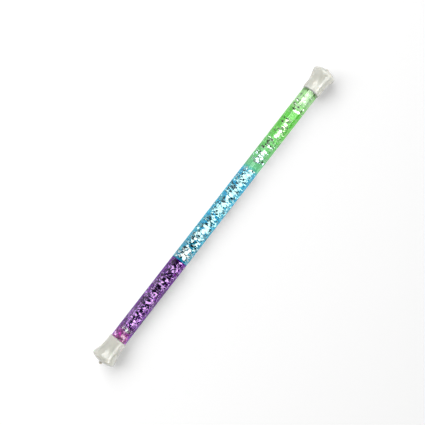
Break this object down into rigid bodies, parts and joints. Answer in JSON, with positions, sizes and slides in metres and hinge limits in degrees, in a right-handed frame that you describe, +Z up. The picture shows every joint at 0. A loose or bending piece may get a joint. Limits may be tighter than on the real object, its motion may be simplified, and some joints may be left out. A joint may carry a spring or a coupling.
{
  "type": "glitter rainstick wand",
  "caption": "Sealed clear tube of liquid and loose silver glitter, tinted green, blue and purple, with an air bubble and a flared pearly cap at each end; tipped to make the glitter rain.",
  "frame": {"origin": "middle of the tube, on its axis", "axes": "+X along the tube towards the green end, +Z up, the side the bubble floats to when the wand lies down"},
  "size_m": [0.3174, 0.021, 0.021],
  "materials": {
    "clear_tube": "gloss",
    "green_film": "gloss",
    "blue_film": "gloss",
    "purple_film": "gloss",
    "liquid": "gloss",
    "air": "gloss",
    "milky_cap": "satin",
    "bung_rubber": "satin",
    "pin_plastic": "gloss",
    "clear_cement": "gloss",
    "silver_flake": "polished"
  },
  "bodies": {
    "wand": {"bung_green": "bung_rubber", "bung_purple": "bung_rubber", "end_cap_green": "milky_cap", "end_cap_purple": "milky_cap", "glue_bead_green": "clear_cement", "glue_bead_purple": "clear_cement", "liquid_fill": "liquid", "tint_band_blue": "blue_film", "tint_band_green": "green_film", "tint_band_purple": "purple_film", "tube": "clear_tube", "vent_pin_green": "pin_plastic", "vent_pin_purple": "pin_plastic"},
    "flakes_blue_inner": {"glitter_blue_inner": "silver_flake"},
    "flakes_blue_middle": {"glitter_blue_middle": "silver_flake"},
    "flakes_blue_outer": {"glitter_blue_outer": "silver_flake"},
    "flakes_green_inner": {"glitter_green_inner": "silver_flake"},
    "flakes_green_middle": {"glitter_green_middle": "silver_flake"},
    "flakes_green_outer": {"glitter_green_outer": "silver_flake"},
    "flakes_purple_inner": {"glitter_purple_inner": "silver_flake"},
    "flakes_purple_middle": {"glitter_purple_middle": "silver_flake"},
    "flakes_purple_outer": {"glitter_purple_outer": "silver_flake"},
    "bubble": {"air_bubble": "air"}
  },
  "joints": [
    {"name": "blue_inner_drift", "type": "slide", "parent": "wand", "child": "flakes_blue_inner", "axis": [1, 0, 0], "range_m": [-0.09359, 0.0927]},
    {"name": "blue_middle_drift", "type": "slide", "parent": "wand", "child": "flakes_blue_middle", "axis": [1, 0, 0], "range_m": [-0.09422, 0.09366]},
    {"name": "blue_outer_drift", "type": "slide", "parent": "wand", "child": "flakes_blue_outer", "axis": [1, 0, 0], "range_m": [-0.09246, 0.09297]},
    {"name": "green_inner_drift", "type": "slide", "parent": "wand", "child": "flakes_green_inner", "axis": [1, 0, 0], "range_m": [-0.19867, 0]},
    {"name": "green_middle_drift", "type": "slide", "parent": "wand", "child": "flakes_green_middle", "axis": [1, 0, 0], "range_m": [-0.19792, 0]},
    {"name": "green_outer_drift", "type": "slide", "parent": "wand", "child": "flakes_green_outer", "axis": [1, 0, 0], "range_m": [-0.19979, 0.00493]},
    {"name": "purple_inner_drift", "type": "slide", "parent": "wand", "child": "flakes_purple_inner", "axis": [1, 0, 0], "range_m": [0, 0.19305]},
    {"name": "purple_middle_drift", "type": "slide", "parent": "wand", "child": "flakes_purple_middle", "axis": [1, 0, 0], "range_m": [0, 0.1929]},
    {"name": "purple_outer_drift", "type": "slide", "parent": "wand", "child": "flakes_purple_outer", "axis": [1, 0, 0], "range_m": [0, 0.1929]},
    {"name": "bubble_travel", "type": "slide", "parent": "wand", "child": "bubble", "axis": [1, 0, 0], "range_m": [-0.26026, 0], "deforming": ["liquid_fill"]}
  ]
}
